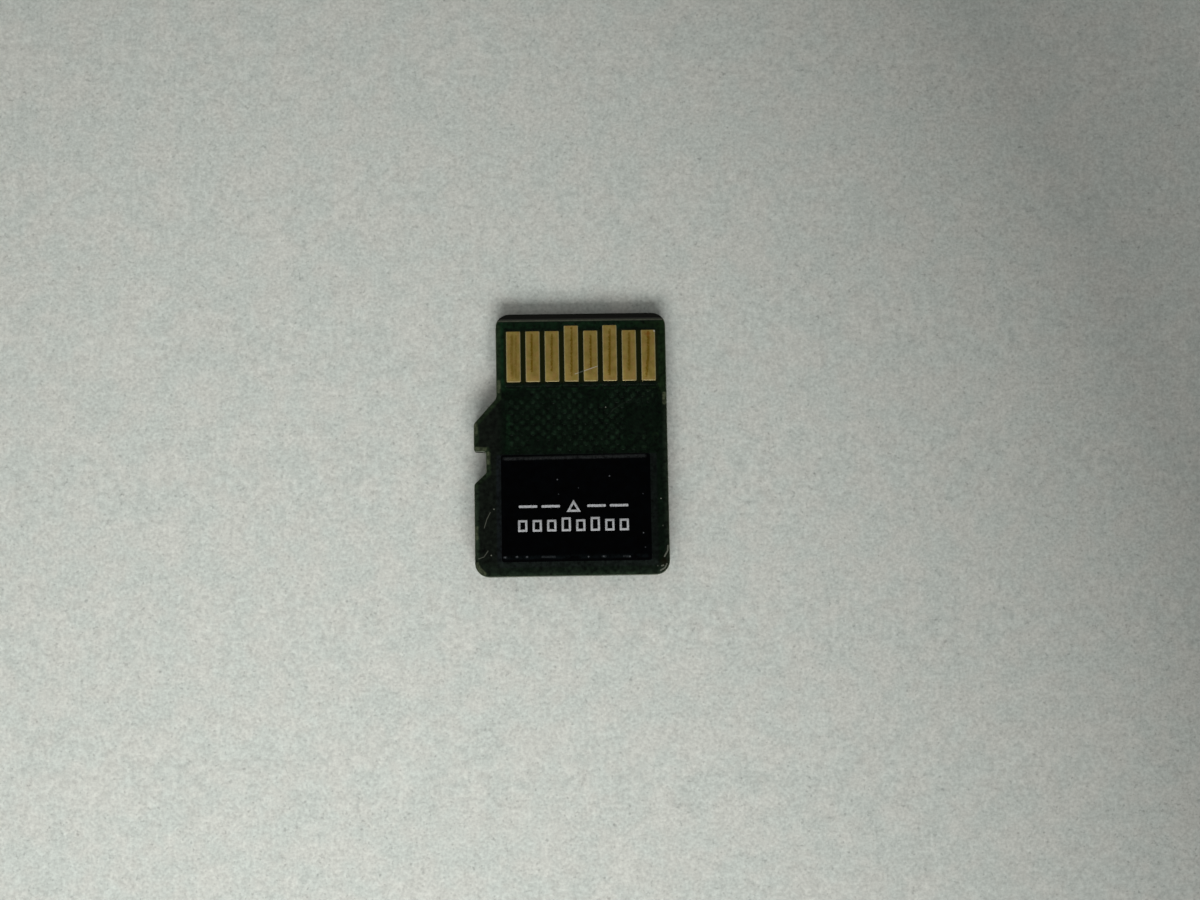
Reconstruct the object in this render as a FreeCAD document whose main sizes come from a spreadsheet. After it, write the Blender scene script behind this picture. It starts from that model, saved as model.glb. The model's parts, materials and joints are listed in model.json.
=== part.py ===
"""Small memory card: a moulded package on a thin laminate with eight contacts.

The contact side is up, the leading (contact) edge faces +Y and the notched side faces -X.
Lengths are millimetres and the origin lies on the table under the middle of the card.
"""
import math
import operator
import os
from types import SimpleNamespace

import FreeCAD
import Part
import Sketcher
from FreeCAD import Vector

SIZES = [
    # Outline; distances along the card run from the leading edge
    ("card_width", 11.0),
    ("card_length", 15.0),
    ("lead_width", 9.7),
    ("corner_radius", 0.8),
    ("shoulder_end", 6.3),
    ("shoulder_run", 1.45),
    ("shoulder_root_radius", 0.5),
    ("shoulder_tip_radius", 0.35),
    ("notch_front", 7.9),
    ("notch_floor", 1.2),
    ("notch_mouth", 1.84),
    ("notch_depth", 0.68),
    ("notch_lip_radius", 0.15),
    ("notch_root_radius", 0.16),
    ("notch_ramp_radius", 0.3),
    # Thickness, finger grip and edges
    ("body_thickness", 0.7),
    ("grip_rise", 0.3),
    ("grip_width", 1.2),
    ("grip_arc_radius", 30.0),
    ("grip_slope", 30.0),
    ("edge_round", 0.08),
    ("bevel_length", 0.5),
    ("bevel_depth", 0.3),
    # Laminate and solder mask
    ("laminate_thickness", 0.1),
    ("laminate_edge_break", 0.03),
    ("mask_thickness", 0.02),
    ("mask_setback", 0.05),
    # Contacts
    ("contact_pitch", 1.1),
    ("contact_width", 0.8),
    ("contact_length", 2.9),
    ("contact_setback", 1.04),
    ("power_contact_lead", 0.3),
    ("contact_thickness", 0.016),
    ("contact_corner", 0.05),
    ("window_gap", 0.025),
    # Ink patch on the contact side
    ("patch_width", 8.46),
    ("patch_length", 6.06),
    ("patch_side_margin", 1.02),
    ("patch_rear_margin", 0.83),
    ("patch_corner", 0.12),
    ("patch_thickness", 0.02),
    ("patch_edge_slope", 0.012),
    # Silicon and the films that bond it to the laminate
    ("die_film_thickness", 0.02),
    ("memory_thickness", 0.12),
    ("memory_notch_gap", 1.3),
    ("memory_side_gap", 0.8),
    ("memory_rear_gap", 0.9),
    ("memory_setback", 6.9),
    ("controller_width", 3.0),
    ("controller_length", 1.9),
    ("controller_thickness", 0.1),
    # Bond fingers and wires
    ("finger_width", 0.1),
    ("finger_length", 0.25),
    ("finger_thickness", 0.015),
    ("finger_gap", 0.35),
    ("finger_row_gap", 0.35),
    ("wire_side_gap", 0.45),
    ("wire_diameter", 0.03),
    ("wire_inset", 0.1),
    ("wire_rise", 0.08),
    # Chip capacitors and resistors on their copper lands
    ("land_thickness", 0.015),
    ("land_margin", 0.03),
    ("capacitor_length", 0.6),
    ("capacitor_width", 0.3),
    ("capacitor_height", 0.3),
    ("capacitor_terminal", 0.15),
    ("capacitor_pitch", 1.7),
    ("capacitor_row_gap", 0.4),
    ("resistor_length", 0.4),
    ("resistor_width", 0.2),
    ("resistor_height", 0.13),
    ("resistor_terminal", 0.1),
    ("resistor_pitch", 0.8),
    ("resistor_gap", 0.6),
    ("terminal_step", 0.01),
]
CONTACTS = 8
POWER_CONTACTS = (4, 6)
MEMORY_WIRES = 16
CONTROLLER_WIRES = 8
CAPACITORS = 4
RESISTORS = 2
WIRE_FLATS = 6
SIGNS = {"+": operator.add, "-": operator.sub, "*": operator.mul, "/": operator.truediv}

doc = FreeCAD.newDocument("memory_card")
sheet = doc.addObject("Spreadsheet::Sheet", "sizes")
for line, (name, number) in enumerate(SIZES, 1):
    sheet.set(f"A{line}", name)
    sheet.set(f"B{line}", str(number))
    sheet.setAlias(f"B{line}", name)
doc.recompute()


class Size:
    """A number kept together with the sheet formula that gives it."""

    def __init__(self, value, formula):
        self.value = value
        self.formula = formula

    def joined(self, sign, other, swapped=False):
        if not isinstance(other, Size):
            other = Size(other, f"{other:f}")
        first, second = (other, self) if swapped else (self, other)
        value = SIGNS[sign](first.value, second.value)
        return Size(value, f"({first.formula} {sign} {second.formula})")

    def __add__(self, other):
        return self.joined("+", other)

    def __sub__(self, other):
        return self.joined("-", other)

    def __rsub__(self, other):
        return self.joined("-", other, swapped=True)

    def __mul__(self, other):
        return self.joined("*", other)

    __rmul__ = __mul__

    def __truediv__(self, other):
        return self.joined("/", other)

    def root(self):
        return Size(math.sqrt(self.value), f"sqrt({self.formula})")


s = SimpleNamespace(**{name: Size(float(sheet.get(name)), f"sizes.{name}") for name, _ in SIZES})
ZERO = s.card_width * 0

# Places that several pieces share
side = s.card_width / 2
lead = s.card_length / 2
lead_middle = side - s.lead_width / 2
top = s.grip_rise + s.body_thickness
board_face = top - s.mask_thickness
inner_face = board_face - s.laminate_thickness


def dimension(sketch, kind, places, size, name):
    """Add a named constraint that takes its value from the sheet."""
    index = sketch.addConstraint(Sketcher.Constraint(kind, *places, size.value))
    sketch.renameConstraint(index, name)
    sketch.setExpression(f"Constraints.{name}", size.formula)


def place_point(sketch, geometry, x, y, name):
    dimension(sketch, "DistanceX", (-1, 1, geometry, 1), x, f"{name}_x")
    dimension(sketch, "DistanceY", (-1, 1, geometry, 1), y, f"{name}_y")


def draw_outline(sketch, corners, prefix="corner"):
    """Close a counter-clockwise outline through corners of (x, y, radius); no radius is a sharp corner."""
    count = len(corners)
    points = [Vector(x.value, y.value, 0) for x, y, _ in corners]
    ends = []
    for i, (_, _, radius) in enumerate(corners):
        back = (points[i - 1] - points[i]).normalize()
        onward = (points[(i + 1) % count] - points[i]).normalize()
        half = back.getAngle(onward) / 2
        reach = radius.value / math.tan(half) if radius else 0
        middle = (back + onward).normalize() * (radius.value / math.sin(half)) if radius else Vector()
        ends.append((points[i] + back * reach, points[i] + onward * reach, points[i] + middle,
                     onward.cross(back).z > 0))
    lines = [sketch.addGeometry(Part.LineSegment(ends[i][1], ends[(i + 1) % count][0])) for i in range(count)]
    for i, (x, y, radius) in enumerate(corners):
        before, after, middle, convex = ends[i]
        name = f"{prefix}_{i}"
        if not radius:
            sketch.addConstraint(Sketcher.Constraint("Coincident", lines[i - 1], 2, lines[i], 1))
            place_point(sketch, lines[i], x, y, name)
            continue
        start, end = (before, after) if convex else (after, before)
        angles = [math.atan2(*reversed((point - middle)[:2])) for point in (start, end)]
        circle = Part.Circle(middle, Vector(0, 0, 1), radius.value)
        arc = sketch.addGeometry(Part.ArcOfCircle(circle, *angles))
        first, second = (1, 2) if convex else (2, 1)
        sketch.addConstraint(Sketcher.Constraint("Tangent", lines[i - 1], 2, arc, first))
        sketch.addConstraint(Sketcher.Constraint("Tangent", arc, second, lines[i], 1))
        corner = sketch.addGeometry(Part.Point(points[i]), True)
        sketch.addConstraint(Sketcher.Constraint("PointOnObject", corner, 1, lines[i - 1]))
        sketch.addConstraint(Sketcher.Constraint("PointOnObject", corner, 1, lines[i]))
        place_point(sketch, corner, x, y, name)
        dimension(sketch, "Radius", (arc,), radius, f"{name}_radius")


def draw_path(sketch, places):
    """Draw an open chain of straight lines through places of (x, y)."""
    points = [Vector(x.value, y.value, 0) for x, y in places]
    lines = [sketch.addGeometry(Part.LineSegment(a, b)) for a, b in zip(points, points[1:])]
    for i, (x, y) in enumerate(places[:-1]):
        if i:
            sketch.addConstraint(Sketcher.Constraint("Coincident", lines[i - 1], 2, lines[i], 1))
        place_point(sketch, lines[i], x, y, f"bend_{i}")
    for kind, size in zip(("DistanceX", "DistanceY"), places[-1]):
        dimension(sketch, kind, (-1, 1, lines[-1], 2), size, f"end_{kind[-1].lower()}")


def new_body(label):
    body = doc.addObject("PartDesign::Body", label)
    body.Label = label
    return body


def origin_feature(body, role):
    return next(feature for feature in body.Origin.OriginFeatures if feature.Role == role)


def sketch_on(body, role, offset):
    sketch = body.newObject("Sketcher::SketchObject", f"{body.Name}_sketch")
    sketch.AttachmentSupport = [(origin_feature(body, role), "")]
    sketch.MapMode = "FlatFace"
    sketch.setExpression("AttachmentOffset.Base.z", offset.formula)
    return sketch


def add_feature(body, kind, sketch, length, **settings):
    """Pad or pocket a sketch by a length from the sheet."""
    feature = body.newObject(f"PartDesign::{kind}", f"{body.Name}_{kind.lower()}")
    feature.Profile = sketch
    for setting, value in settings.items():
        setattr(feature, setting, value)
    feature.setExpression("Length", length.formula)
    body.Tip = feature
    return feature


def dress_edges(body, kind, size, chosen):
    """Round or break the edges of the body that the chosen test picks."""
    doc.recompute()
    base = body.Tip
    names = [f"Edge{i}" for i, edge in enumerate(base.Shape.Edges, 1) if chosen(edge)]
    feature = body.newObject(f"PartDesign::{kind}", f"{body.Name}_{kind.lower()}")
    feature.Base = (base, names)
    feature.setExpression("Radius" if kind == "Fillet" else "Size", size.formula)
    body.Tip = feature


def at_height(edge, height):
    box = edge.BoundBox
    return max(abs(box.ZMin - height.value), abs(box.ZMax - height.value)) < s.mask_thickness.value / 4


def row_along_x(body, feature, count, pitch):
    """Repeat a feature along the card's width."""
    pattern = body.newObject("PartDesign::LinearPattern", f"{body.Name}_row")
    pattern.Originals = [feature]
    pattern.Direction = (origin_feature(body, "X_Axis"), [""])
    pattern.Occurrences = count
    pattern.setExpression("Length", (pitch * (count - 1)).formula)
    body.Tip = pattern


def rectangle(x, y, width, length, radius=None):
    """Corners of a rectangle from its low corner."""
    return [(x, y, radius), (x + width, y, radius), (x + width, y + length, radius), (x, y + length, radius)]


def slope_shift(step, run, inset):
    """How far back a sloping side's corners move when the outline is drawn inset."""
    return inset * ((step * step + run * run).root() - run) / step


def card_corners(inset):
    """Corners of the card's outline, drawn inset from its edge."""
    left, right, front, rear = inset - side, side - inset, lead - inset, inset - lead
    lead_left = side - s.lead_width + inset
    tip = lead - s.shoulder_end - slope_shift(s.card_width - s.lead_width, s.shoulder_run, inset)
    wall = lead - s.notch_front + inset
    floor = left + s.notch_depth
    ramp = s.notch_mouth - s.notch_floor
    mouth = lead - s.notch_front - s.notch_mouth - slope_shift(s.notch_depth, ramp, inset)
    corner, root = s.corner_radius - inset, s.notch_root_radius + inset
    return [
        (left, rear, corner),
        (right, rear, corner),
        (right, front, corner),
        (lead_left, front, corner),
        (lead_left, tip + s.shoulder_run, s.shoulder_root_radius + inset),
        (left, tip, s.shoulder_tip_radius - inset),
        (left, wall, s.notch_lip_radius - inset),
        (floor, wall, root),
        (floor, mouth + ramp, root),
        (left, mouth, s.notch_ramp_radius - inset),
    ]


def cut_bevel(body):
    """Take the lead-in bevel off the contact side of the leading edge."""
    sketch = sketch_on(body, "YZ_Plane", ZERO)
    draw_outline(sketch, [
        (lead + s.bevel_length, top - 2 * s.bevel_depth, None),
        (lead + s.bevel_length, top + s.bevel_depth, None),
        (lead - 2 * s.bevel_length, top + s.bevel_depth, None),
    ])
    add_feature(body, "Pocket", sketch, 2 * s.card_width, Midplane=True)


def contact_corners(number, gap):
    """Outline of one contact, counted from the notched side, grown by a gap all round."""
    x = lead_middle + s.contact_pitch * (number - (CONTACTS + 1) / 2) - s.contact_width / 2
    y = lead - s.contact_setback - s.contact_length
    length = s.contact_length + s.power_contact_lead if number in POWER_CONTACTS else s.contact_length
    return rectangle(x - gap, y - gap, s.contact_width + 2 * gap, length + 2 * gap, s.contact_corner + gap)


def make_box(label, x, y, z, width, length, height):
    """A block from its low corner."""
    box = doc.addObject("Part::Box", label)
    box.Label = label
    bound = {"Placement.Base.x": x, "Placement.Base.y": y, "Placement.Base.z": z,
             "Length": width, "Width": length, "Height": height}
    for path, size in bound.items():
        box.setExpression(path, size.formula)
    return box


def join(label, kind, shapes):
    group = doc.addObject(f"Part::{kind}", label)
    group.Label = label
    setattr(group, "Links" if kind == "Compound" else "Shapes", shapes)
    return group


def make_laminate():
    body = new_body("laminate_board")
    sketch = sketch_on(body, "XY_Plane", inner_face)
    draw_outline(sketch, card_corners(ZERO))
    add_feature(body, "Pad", sketch, s.laminate_thickness)
    dress_edges(body, "Chamfer", s.laminate_edge_break, lambda edge: at_height(edge, board_face))
    cut_bevel(body)
    return body


def make_solder_mask():
    body = new_body("solder_mask")
    sketch = sketch_on(body, "XY_Plane", board_face)
    draw_outline(sketch, card_corners(s.mask_setback))
    add_feature(body, "Pad", sketch, s.mask_thickness)
    cut_bevel(body)
    windows = sketch_on(body, "XY_Plane", top)
    for number in range(1, CONTACTS + 1):
        draw_outline(windows, contact_corners(number, s.window_gap), f"window_{number}")
    add_feature(body, "Pocket", windows, s.mask_thickness)
    return body


def make_contact(number):
    body = new_body(f"contact_{number}")
    sketch = sketch_on(body, "XY_Plane", board_face)
    draw_outline(sketch, contact_corners(number, ZERO))
    add_feature(body, "Pad", sketch, s.contact_thickness)
    return body


def make_ink_patch():
    body = new_body("ink_patch")
    sketch = sketch_on(body, "XY_Plane", top)
    x = side - s.patch_side_margin - s.patch_width
    y = s.patch_rear_margin - lead
    draw_outline(sketch, rectangle(x, y, s.patch_width, s.patch_length, s.patch_corner))
    add_feature(body, "Pad", sketch, s.patch_thickness)
    dress_edges(body, "Chamfer", s.patch_edge_slope, lambda edge: at_height(edge, top + s.patch_thickness))
    return body


def make_slab_form():
    """The flat part of the moulding, rounded along the rim of the label face."""
    body = new_body("slab_form")
    sketch = sketch_on(body, "XY_Plane", s.grip_rise)
    draw_outline(sketch, card_corners(ZERO))
    add_feature(body, "Pad", sketch, inner_face - s.grip_rise)
    dress_edges(body, "Fillet", s.edge_round, lambda edge: at_height(edge, s.grip_rise))
    cut_bevel(body)
    return body


def make_grip_form():
    """The finger grip, left standing at the rear by a wide arc, and reaching up past the slab's rounded rim."""
    body = new_body("grip_form")
    height = s.grip_rise + s.edge_round
    sketch = sketch_on(body, "XY_Plane", ZERO)
    draw_outline(sketch, card_corners(ZERO))
    add_feature(body, "Pad", sketch, height)
    front = sketch_on(body, "XY_Plane", ZERO)
    radius = s.grip_arc_radius
    middle = s.grip_width - lead + radius
    ring = front.addGeometry(Part.Circle(Vector(0, middle.value, 0), Vector(0, 0, 1), radius.value))
    front.addConstraint(Sketcher.Constraint("PointOnObject", ring, 3, -2))
    dimension(front, "DistanceY", (-1, 1, ring, 3), middle, "arc_middle")
    dimension(front, "Radius", (ring,), radius, "arc_radius")
    pocket = add_feature(body, "Pocket", front, 2 * height, Reversed=True)
    pocket.setExpression("TaperAngle", (ZERO - s.grip_slope).formula)
    dress_edges(body, "Fillet", s.edge_round, lambda edge: at_height(edge, ZERO))
    return body


def make_chip(label, x, y, length, width, height, terminal):
    """A chip capacitor or resistor across x, y, with its end terminals standing proud of the body."""
    z = inner_face - s.land_thickness - height
    step = s.terminal_step
    ends = [make_box(f"{label}_end_{i}", low, y - width / 2, z, terminal, width, height)
            for i, low in enumerate((x - length / 2, x + length / 2 - terminal), 1)]
    middle = make_box(f"{label}_middle", x - length / 2 + step, y - width / 2 + step, z + step,
                      length - 2 * step, width - 2 * step, height - 2 * step)
    lands = [make_box(f"{label}_land_{i}", low - s.land_margin, y - width / 2 - s.land_margin,
                      inner_face - s.land_thickness, terminal + 2 * s.land_margin,
                      width + 2 * s.land_margin, s.land_thickness)
             for i, low in enumerate((x - length / 2, x + length / 2 - terminal), 1)]
    return join(label, "MultiFuse", [middle, *ends]), lands


def make_fingers(label, x, y, count, pitch):
    """A row of bond fingers centred on x, from y onward."""
    body = new_body(label)
    sketch = sketch_on(body, "XY_Plane", inner_face - s.finger_thickness)
    first = x - pitch * ((count - 1) / 2) - s.finger_width / 2
    draw_outline(sketch, rectangle(first, y, s.finger_width, s.finger_length))
    row_along_x(body, add_feature(body, "Pad", sketch, s.finger_thickness), count, pitch)
    return body


def make_wires(label, x, die_y, die_face, finger_y, count, pitch):
    """A row of bond wires from a die face to its fingers, each rising, sloping over and dropping."""
    body = new_body(label)
    first = x - pitch * ((count - 1) / 2)
    radius = s.wire_diameter / 2
    finger_face = inner_face - s.finger_thickness
    section = sketch_on(body, "XY_Plane", die_face)
    turns = [2 * math.pi * i / WIRE_FLATS for i in range(WIRE_FLATS)]
    draw_outline(section, [(first + radius * math.cos(turn), die_y + radius * math.sin(turn), None)
                           for turn in turns])
    run = sketch_on(body, "YZ_Plane", first)
    draw_path(run, [(die_y, die_face), (die_y, die_face - s.wire_rise),
                    (finger_y, finger_face - s.wire_rise), (finger_y, finger_face)])
    pipe = body.newObject("PartDesign::AdditivePipe", f"{label}_pipe")
    pipe.Profile = section
    pipe.Spine = (run, ["Edge1", "Edge2", "Edge3"])
    pipe.Transition = "Right corner"
    body.Tip = pipe
    row_along_x(body, pipe, count, pitch)
    return body


board = [make_laminate(), make_solder_mask(), make_ink_patch()]
board += [make_contact(number) for number in range(1, CONTACTS + 1)]

# Memory die behind its row of fingers
memory_x = s.notch_depth + s.memory_notch_gap - side
memory_y = s.memory_rear_gap - lead
memory_front = lead - s.memory_setback
memory_width = side - s.memory_side_gap - memory_x
memory_length = memory_front - memory_y
memory_middle = memory_x + memory_width / 2
memory_wire_pitch = (memory_width - 2 * s.wire_side_gap) / (MEMORY_WIRES - 1)
memory_face = inner_face - s.die_film_thickness - s.memory_thickness
memory_film = make_box("memory_die_film", memory_x, memory_y, inner_face - s.die_film_thickness,
                       memory_width, memory_length, s.die_film_thickness)
memory_die = make_box("memory_die", memory_x, memory_y, memory_face,
                      memory_width, memory_length, s.memory_thickness)
memory_finger_y = memory_front + s.finger_gap
memory_fingers = make_fingers("memory_fingers", memory_middle, memory_finger_y, MEMORY_WIRES,
                              memory_wire_pitch)
memory_wires = make_wires("memory_wires", memory_middle, memory_front - s.wire_inset, memory_face,
                          memory_finger_y + s.finger_length / 2, MEMORY_WIRES, memory_wire_pitch)

# Controller die between its own two rows of fingers
rear_finger_y = memory_finger_y + s.finger_length + s.finger_row_gap
controller_y = rear_finger_y + s.finger_length + s.finger_gap
controller_front = controller_y + s.controller_length
controller_x = lead_middle - s.controller_width / 2
controller_wire_pitch = (s.controller_width - 2 * s.wire_side_gap) / (CONTROLLER_WIRES - 1)
controller_face = inner_face - s.die_film_thickness - s.controller_thickness
controller_film = make_box("controller_die_film", controller_x, controller_y,
                           inner_face - s.die_film_thickness, s.controller_width,
                           s.controller_length, s.die_film_thickness)
controller_die = make_box("controller_die", controller_x, controller_y, controller_face,
                          s.controller_width, s.controller_length, s.controller_thickness)
front_finger_y = controller_front + s.finger_gap
rows = {"rear": (rear_finger_y, controller_y + s.wire_inset),
        "front": (front_finger_y, controller_front - s.wire_inset)}
controller_bonds = []
for row, (finger_y, die_y) in rows.items():
    controller_bonds += [
        make_fingers(f"controller_{row}_fingers", lead_middle, finger_y, CONTROLLER_WIRES,
                     controller_wire_pitch),
        make_wires(f"controller_{row}_wires", lead_middle, die_y, controller_face,
                   finger_y + s.finger_length / 2, CONTROLLER_WIRES, controller_wire_pitch),
    ]

# Chip capacitors across the front, chip resistors beside the controller
chips, lands = [], []
capacitor_y = front_finger_y + s.finger_length + s.capacitor_row_gap + s.capacitor_width / 2
for number in range(1, CAPACITORS + 1):
    x = lead_middle + s.capacitor_pitch * (number - (CAPACITORS + 1) / 2)
    chip, pair = make_chip(f"capacitor_{number}", x, capacitor_y, s.capacitor_length,
                           s.capacitor_width, s.capacitor_height, s.capacitor_terminal)
    chips.append(chip)
    lands += pair
resistor_x = controller_x - s.resistor_gap - s.resistor_length / 2
for number in range(1, RESISTORS + 1):
    y = controller_y + s.controller_length / 2 + s.resistor_pitch * (number - (RESISTORS + 1) / 2)
    chip, pair = make_chip(f"resistor_{number}", resistor_x, y, s.resistor_length,
                           s.resistor_width, s.resistor_height, s.resistor_terminal)
    chips.append(chip)
    lands += pair
component_lands = join("component_lands", "Compound", lands)

buried = [memory_film, memory_die, memory_fingers, memory_wires, controller_film, controller_die,
          *controller_bonds, *chips, component_lands]
mould_body = doc.addObject("Part::Cut", "mould_body")
mould_body.Label = "mould_body"
mould_body.Base = join("mould_form", "MultiFuse", [make_slab_form(), make_grip_form()])
mould_body.Tool = join("buried_pieces", "MultiFuse", buried)

doc.recompute()
for item in doc.Objects:
    if {"Invalid", "Error"} & set(item.State):
        raise RuntimeError(f"{item.Label} did not build")
os.makedirs("parts", exist_ok=True)
for node in [mould_body, *board, *buried]:
    if node.Shape.isNull() or not node.Shape.isValid():
        raise RuntimeError(f"{node.Label} has no valid shape")
    node.Shape.exportStep(f"parts/{node.Label}.step")
    print(node.Label, len(node.Shape.Solids), round(node.Shape.Volume, 5))
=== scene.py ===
import json
import math
from functools import reduce

import bpy
from mathutils import Matrix, Vector


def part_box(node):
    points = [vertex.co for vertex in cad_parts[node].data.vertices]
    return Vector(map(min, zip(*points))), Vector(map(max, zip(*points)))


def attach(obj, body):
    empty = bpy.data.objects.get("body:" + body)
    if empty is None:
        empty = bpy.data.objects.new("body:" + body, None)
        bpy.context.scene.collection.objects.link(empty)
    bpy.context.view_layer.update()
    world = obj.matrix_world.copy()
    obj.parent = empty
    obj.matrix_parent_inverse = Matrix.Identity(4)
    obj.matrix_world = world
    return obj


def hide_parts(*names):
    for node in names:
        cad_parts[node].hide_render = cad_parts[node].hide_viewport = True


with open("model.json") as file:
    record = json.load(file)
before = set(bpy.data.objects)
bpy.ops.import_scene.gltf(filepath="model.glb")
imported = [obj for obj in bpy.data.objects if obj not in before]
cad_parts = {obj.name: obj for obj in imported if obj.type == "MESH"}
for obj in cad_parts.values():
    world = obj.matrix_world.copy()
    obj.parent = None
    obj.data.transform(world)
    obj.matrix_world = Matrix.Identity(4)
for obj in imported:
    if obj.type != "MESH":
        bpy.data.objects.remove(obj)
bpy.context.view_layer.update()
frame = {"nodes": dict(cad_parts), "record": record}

# Places and sizes are in millimetres, as the part's drawing gives them
MM = 0.001
MASK_TOP = 1.0
LEAD_MIDDLE = 0.65
CONTACT_PITCH = 1.1
SHORT_CONTACTS = (1, 2, 3, 5, 7, 8)
LONG_CONTACTS = (4, 6)

# Contacts: rounded corners, a broken top edge, and the mask standing round each window
CONTACT_CORNER = 0.05
CONTACT_EDGE = 0.006
COLLAR_SIDE, COLLAR_REAR, COLLAR_LEAD = 0.075, 0.26, 0.12
COLLAR_GAP = 0.028
COLLAR_RISE = 0.003
COLLAR_EDGE = 0.012

# Copper dots under the mask: two square grids, one set half a pitch over
DOT_PITCH = 0.6
DOT_ORIGIN = (-0.643, 0.34)
DOT_SHIFTS = (0.0, 0.5)
DOT_RADIUS = 0.145
DOT_RISE = 0.005
DOT_CROWN_INSET, DOT_CROWN_LIFT = 0.05, 0.0006
DOT_COLUMNS, DOT_ROWS = 15, 8
DOT_COLUMNS_LEFT, DOT_ROWS_BELOW = 6, 2
DOT_FIELD = (-3.55, -0.45, 4.75, 3.05)
DOT_BLANKS = [(0.72, 2.35, 2.1, 3.4), (3.05, 0.62, 4.9, 2.42), (-2.4, -0.3, -0.85, 0.3),
              (-3.7, 2.55, -2.3, 3.4), (2.95, -0.2, 3.95, 0.85), (4.4, -0.6, 5.0, 0.9)]

# Tracks and plated vias under the mask
EDGE_TRACK = [(-3.52, 1.62), (-3.6, -0.43)]
EDGE_TRACK_WIDTH, EDGE_TRACK_RISE = 0.12, 0.005
FINE_TRACK = [(2.135, 1.51), (2.426, 1.907), (2.945, 2.214), (3.52, 2.521)]
FINE_TRACK_WIDTH, FINE_TRACK_RISE = 0.04, 0.003
VIA_PLACES = [(3.44, 0.33), (4.805, 0.4)]
VIA_RADIUS = 0.2
VIA_SINK = 0.002
VIA_STEPS = [(0.04, 0.0025), (0.04, 0.0005), (0.04, -0.001), (0.03, -0.001)]

# Ink bead across the edge of the patch: width of each ring and its rise
BEAD_STEPS = [(0.03, 0.003), (0.07, 0.0), (0.05, 0.007), (0.05, 0.005), (0.05, -0.004),
              (0.05, -0.007), (0.06, -0.003)]
FILM_EDGE = 0.003
FILM_CORNER = 0.1
INK_LEVEL = MASK_TOP + FILM_EDGE + sum(lift for width, lift in BEAD_STEPS)

# Print on the patch, its foot just under the face of the ink
PRINT_FOOT = INK_LEVEL - 0.001
PRINT_RISE = 0.006
PRINT_STROKE = 0.12
PRINT_EDGE = 0.003
KEY_START, KEY_BASE, KEY_PITCH, KEY_WIDTH = -3.05, -4.97, 0.82, 0.52
KEY_SHORT, KEY_LONG = 0.66, 0.78
WAY_IN = (0.1, -3.55)
WAY_IN_RADIUS = 0.46
WAY_IN_DROP = 0.1
DASH_START = -3.1
DASH_LENGTH, DASH_WIDTH = 1.05, 0.14
DASH_CORNER = 0.05
DASH_STEPS = {2: 1.28, 3: 3.87, 4: 5.15}

# Fields of the mask: the slate halo round the patch, and the olive gaps between the contacts
PATCH_HALO = (-4.25, -6.98, 4.86, -0.6)
CONTACT_FIELD = (-3.72, 3.5, 5.02, 6.46)
# Hem of the mask behind the contacts, and the rim along the notched side
HEM_FIELD = (-3.75, 2.9, 5.1, 3.5)
LEFT_RIM = [(-4.12, 6.7), (-4.12, 2.64), (-5.42, 1.2), (-5.42, -0.32), (-4.76, -0.34), (-4.74, -1.62),
            (-5.42, -2.26)]

# Wear seen on the card, and painted glints along the ink's rear bead
EDGE_RUBS = [[(-4.06, 3.56), (-4.06, 3.05)], [(5.36, 2.78), (5.36, 2.27)], [(-5.39, 1.2), (-5.39, 0.62)],
             [(-5.4, -0.22), (-4.85, -0.24)], [(-4.68, -0.5), (-4.68, -1.05)],
             [(-5.4, -4.71), (-5.4, -5.28)], [(-5.38, -6.74), (-5.26, -7.02), (-4.97, -7.3)]]
CORNER_SCRAPES = [[(5.4, -5.88), (5.37, -6.17), (5.19, -6.48)],
                  [(5.31, -6.91), (5.2, -7.13), (4.95, -7.27)], [(5.02, -7.01), (5.12, -6.98)]]
CORNER_BURN = (5.16, -6.76)
HAIR_SCRATCHES = [[(-4.61, -3.85), (-4.8, -4.21), (-4.96, -4.72)],
                  [(-5.3, -6.46), (-4.99, -6.35), (-4.76, -6.02)]]
MASK_SPECKS = [(-4.4, -3.67), (-4.58, -6.27), (2.008, 2.045), (5.055, -3.2)]
FAINT_SPECKS = [(5.137, -4.74), (4.8, -7.0)]
PATCH_DUST = [(-0.8, -2.04), (2.16, -1.88), (4.025, -5.13)]
FAINT_DUST = [(0.39, -2.53), (-0.745, -2.87), (4.12, -5.94), (4.04, -2.91)]
# Painted glints on the ink's rear bead, where its slope catches the window: short strokes and specks
REAR_BEAD_GLINTS = [[(-3.86, -6.4), (-3.74, -6.4)], [(-3.17, -6.38), (-3.1, -6.38)],
                  [(-2.6, -6.39), (-2.54, -6.39)], [(1.7, -6.42), (1.85, -6.43)],
                  [(2.9, -6.43), (3.2, -6.45)], [(-1.7, -6.4), (-1.0, -6.41)]]
REAR_BEAD_GLINT_SPECKS = [(-3.8, -6.4), (-3.13, -6.37), (-2.57, -6.39), (1.76, -6.42), (3.24, -6.45),
                    (0.9, -6.43)]
CONTACT_SCRATCH = [[(0.3, 3.975), (1.6, 4.415)]]
CONTACT_STAINS = [(4.55, 6.2), (4.4, 6.3), (4.7, 6.02)]
CONTACT_NICK = [(4.88, 6.41)]
# Tracks that card sockets wiped down the contacts: chain of places, half width, depth
WIPES = [([(-3.27, 6.27), (-3.31, 4.83), (-3.26, 3.8)], 0.1, 0.5),
         ([(-3.01, 6.21), (-3.06, 3.85)], 0.09, 0.45),
         ([(-2.14, 6.27), (-2.16, 4.17)], 0.085, 0.8), ([(-0.99, 6.25), (-1.02, 4.19)], 0.085, 0.75),
         ([(0.14, 6.63), (0.11, 3.92)], 0.085, 0.8), ([(1.22, 6.17), (1.21, 4.32)], 0.08, 0.85),
         ([(2.32, 6.5), (2.27, 3.92)], 0.085, 0.95), ([(3.43, 6.28), (3.39, 4.2)], 0.1, 0.7),
         ([(4.52, 6.34), (4.5, 5.01), (4.37, 3.83)], 0.1, 0.85)]

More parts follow.
